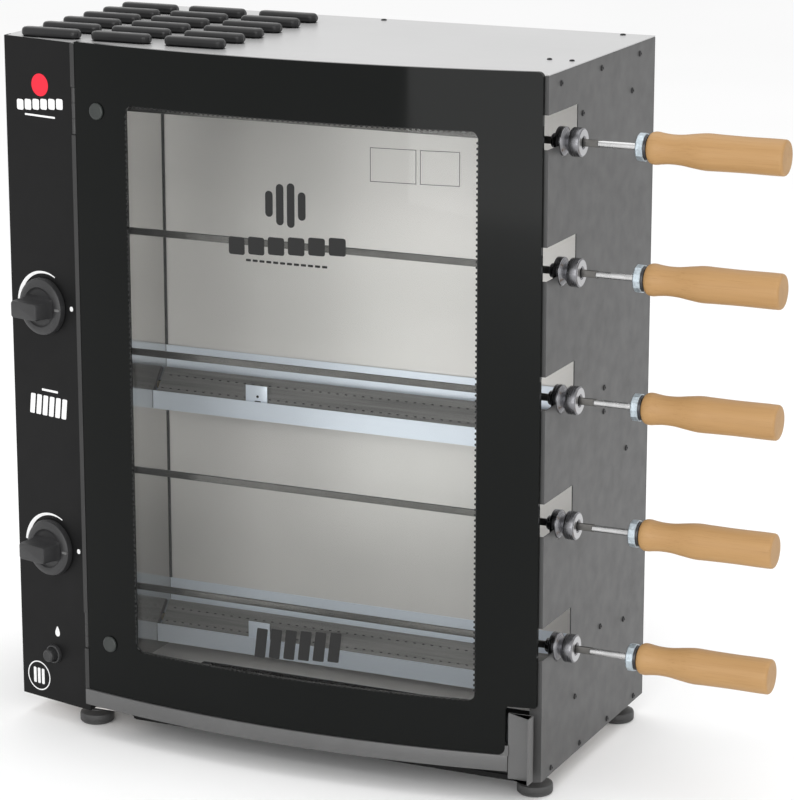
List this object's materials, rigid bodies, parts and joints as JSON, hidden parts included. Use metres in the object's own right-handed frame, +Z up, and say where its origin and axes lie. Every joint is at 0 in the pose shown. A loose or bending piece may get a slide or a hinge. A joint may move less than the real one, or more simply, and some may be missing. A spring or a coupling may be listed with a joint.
{
  "type": "rotisserie oven",
  "caption": "Countertop gas rotisserie oven: bowed glass door, slanted control panel, stacked horizontal spits with turned wooden handles, louvred top and round feet.",
  "frame": {"origin": "on the surface that the feet stand on, at the centre of the outline seen from above", "axes": "+Z up, +X towards the wooden spit handles, -Y towards the glass door"},
  "size_m": [0.772, 0.306, 0.69],
  "materials": {
    "black_paint": "satin black powder coat",
    "grey_paint": "satin graphite powder coat",
    "top_steel": "light brushed stainless",
    "cavity_steel": "bright reflective stainless",
    "burner_steel": "bright bluish stainless",
    "burner_black": "heat-darkened steel",
    "door_glass": "tempered glass with a black printed border",
    "rail_metal": "graphite satin",
    "stile_metal": "dark satin",
    "hinge_metal": "dark satin",
    "glass_button": "dark glossy caps",
    "spit_steel": "drawn stainless bar",
    "bush_steel": "turned bright steel",
    "ferrule_zinc": "zinc-plated",
    "handle_wood": "turned light hardwood",
    "gear_steel": "punched steel plate",
    "motor_metal": "grey motor can",
    "gas_brass": "plain brass",
    "knob_plastic": "satin black plastic",
    "foot_plastic": "dark grey moulded plastic"
  },
  "bodies": {
    "root": {"base_pan": "black_paint", "left_side_cover": "black_paint", "right_side_panel": "grey_paint", "rear_cover": "grey_paint", "top_panel": "top_steel", "vent_louvres": "black_paint", "control_panel": "black_paint", "cavity_left_wall": "cavity_steel", "cavity_back_wall": "cavity_steel", "hinge_upper": "hinge_metal", "hinge_lower": "hinge_metal", "gear_motor": "motor_metal", "burner_tray_upper": "burner_steel", "burner_tray_lower": "burner_steel", "burner_tube_upper": "burner_black", "burner_tube_lower": "burner_black", "gas_manifold": "gas_brass", "foot_front_left": "foot_plastic", "foot_front_right": "foot_plastic", "foot_rear_left": "foot_plastic", "foot_rear_right": "foot_plastic"},
    "door": {"door_glass": "door_glass", "door_rail": "rail_metal", "door_pull": "rail_metal", "door_stile": "stile_metal", "glass_button_upper": "glass_button", "glass_button_lower": "glass_button"},
    "spit_drive_1": {"drive_gear_1": "gear_steel"},
    "spit_drive_2": {"drive_gear_2": "gear_steel"},
    "spit_drive_3": {"drive_gear_3": "gear_steel"},
    "spit_drive_4": {"drive_gear_4": "gear_steel"},
    "spit_drive_5": {"drive_gear_5": "gear_steel"},
    "idler_1": {"idler_gear_1": "gear_steel"},
    "idler_2": {"idler_gear_2": "gear_steel"},
    "idler_3": {"idler_gear_3": "gear_steel"},
    "idler_4": {"idler_gear_4": "gear_steel"},
    "spit_1": {"spit_rod_1": "spit_steel", "spit_bush_1": "bush_steel", "spit_ferrule_1": "ferrule_zinc", "spit_handle_1": "handle_wood"},
    "spit_2": {"spit_rod_2": "spit_steel", "spit_bush_2": "bush_steel", "spit_ferrule_2": "ferrule_zinc", "spit_handle_2": "handle_wood"},
    "spit_3": {"spit_rod_3": "spit_steel", "spit_bush_3": "bush_steel", "spit_ferrule_3": "ferrule_zinc", "spit_handle_3": "handle_wood"},
    "spit_4": {"spit_rod_4": "spit_steel", "spit_bush_4": "bush_steel", "spit_ferrule_4": "ferrule_zinc", "spit_handle_4": "handle_wood"},
    "spit_5": {"spit_rod_5": "spit_steel", "spit_bush_5": "bush_steel", "spit_ferrule_5": "ferrule_zinc", "spit_handle_5": "handle_wood"},
    "burner_knob_upper": {"knob_upper": "knob_plastic"},
    "burner_knob_lower": {"knob_lower": "knob_plastic"},
    "igniter": {"igniter_button": "knob_plastic"},
    "tray": {"drip_tray": "black_paint"}
  },
  "joints": [
    {"name": "door_hinge", "type": "hinge", "parent": "root", "child": "door", "pos_m": [-0.2952, -0.1262, 0.36], "axis": [0, 0, -1], "range_deg": [0, 100]},
    {"name": "spit_drive_1_turn", "type": "hinge", "parent": "root", "child": "spit_drive_1", "pos_m": [-0.329, -0.077, 0.616], "axis": [1, 0, 0], "continuous": true},
    {"name": "spit_drive_2_turn", "type": "hinge", "parent": "root", "child": "spit_drive_2", "pos_m": [-0.329, -0.077, 0.4974], "axis": [1, 0, 0], "continuous": true},
    {"name": "spit_drive_3_turn", "type": "hinge", "parent": "root", "child": "spit_drive_3", "pos_m": [-0.329, -0.077, 0.3788], "axis": [1, 0, 0], "continuous": true},
    {"name": "spit_drive_4_turn", "type": "hinge", "parent": "root", "child": "spit_drive_4", "pos_m": [-0.329, -0.077, 0.2602], "axis": [1, 0, 0], "continuous": true},
    {"name": "spit_drive_5_turn", "type": "hinge", "parent": "root", "child": "spit_drive_5", "pos_m": [-0.329, -0.077, 0.1416], "axis": [1, 0, 0], "continuous": true},
    {"name": "idler_1_turn", "type": "hinge", "parent": "root", "child": "idler_1", "pos_m": [-0.329, -0.077, 0.5567], "axis": [1, 0, 0], "continuous": true},
    {"name": "idler_2_turn", "type": "hinge", "parent": "root", "child": "idler_2", "pos_m": [-0.329, -0.077, 0.4381], "axis": [1, 0, 0], "continuous": true},
    {"name": "idler_3_turn", "type": "hinge", "parent": "root", "child": "idler_3", "pos_m": [-0.329, -0.077, 0.3195], "axis": [1, 0, 0], "continuous": true},
    {"name": "idler_4_turn", "type": "hinge", "parent": "root", "child": "idler_4", "pos_m": [-0.329, -0.077, 0.2009], "axis": [1, 0, 0], "continuous": true},
    {"name": "spit_1_slide", "type": "slide", "parent": "spit_drive_1", "child": "spit_1", "axis": [1, 0, 0], "range_m": [0, 0.52]},
    {"name": "spit_2_slide", "type": "slide", "parent": "spit_drive_2", "child": "spit_2", "axis": [1, 0, 0], "range_m": [0, 0.52]},
    {"name": "spit_3_slide", "type": "slide", "parent": "spit_drive_3", "child": "spit_3", "axis": [1, 0, 0], "range_m": [0, 0.52]},
    {"name": "spit_4_slide", "type": "slide", "parent": "spit_drive_4", "child": "spit_4", "axis": [1, 0, 0], "range_m": [0, 0.52]},
    {"name": "spit_5_slide", "type": "slide", "parent": "spit_drive_5", "child": "spit_5", "axis": [1, 0, 0], "range_m": [0, 0.52]},
    {"name": "knob_upper_turn", "type": "hinge", "parent": "root", "child": "burner_knob_upper", "pos_m": [-0.3435, -0.10948, 0.423], "axis": [-0.233, -0.9725, 0], "range_deg": [0, 180]},
    {"name": "knob_lower_turn", "type": "hinge", "parent": "root", "child": "burner_knob_lower", "pos_m": [-0.34224, -0.10978, 0.181], "axis": [-0.233, -0.9725, 0], "range_deg": [0, 180]},
    {"name": "igniter_push", "type": "slide", "parent": "root", "child": "igniter", "axis": [0.233, 0.9725, 0], "range_m": [0, 0.004], "stiffness_N_per_m": 400},
    {"name": "tray_slide", "type": "slide", "parent": "root", "child": "tray", "axis": [0, -1, 0], "range_m": [0, 0.16]}
  ],
  "couplings": [
    {"joint": "idler_1_turn", "follows": "spit_drive_1_turn", "ratio": -1},
    {"joint": "spit_drive_2_turn", "follows": "spit_drive_1_turn", "ratio": 1},
    {"joint": "idler_2_turn", "follows": "spit_drive_1_turn", "ratio": -1},
    {"joint": "spit_drive_3_turn", "follows": "spit_drive_1_turn", "ratio": 1},
    {"joint": "idler_3_turn", "follows": "spit_drive_1_turn", "ratio": -1},
    {"joint": "spit_drive_4_turn", "follows": "spit_drive_1_turn", "ratio": 1},
    {"joint": "idler_4_turn", "follows": "spit_drive_1_turn", "ratio": -1},
    {"joint": "spit_drive_5_turn", "follows": "spit_drive_1_turn", "ratio": 1}
  ]
}
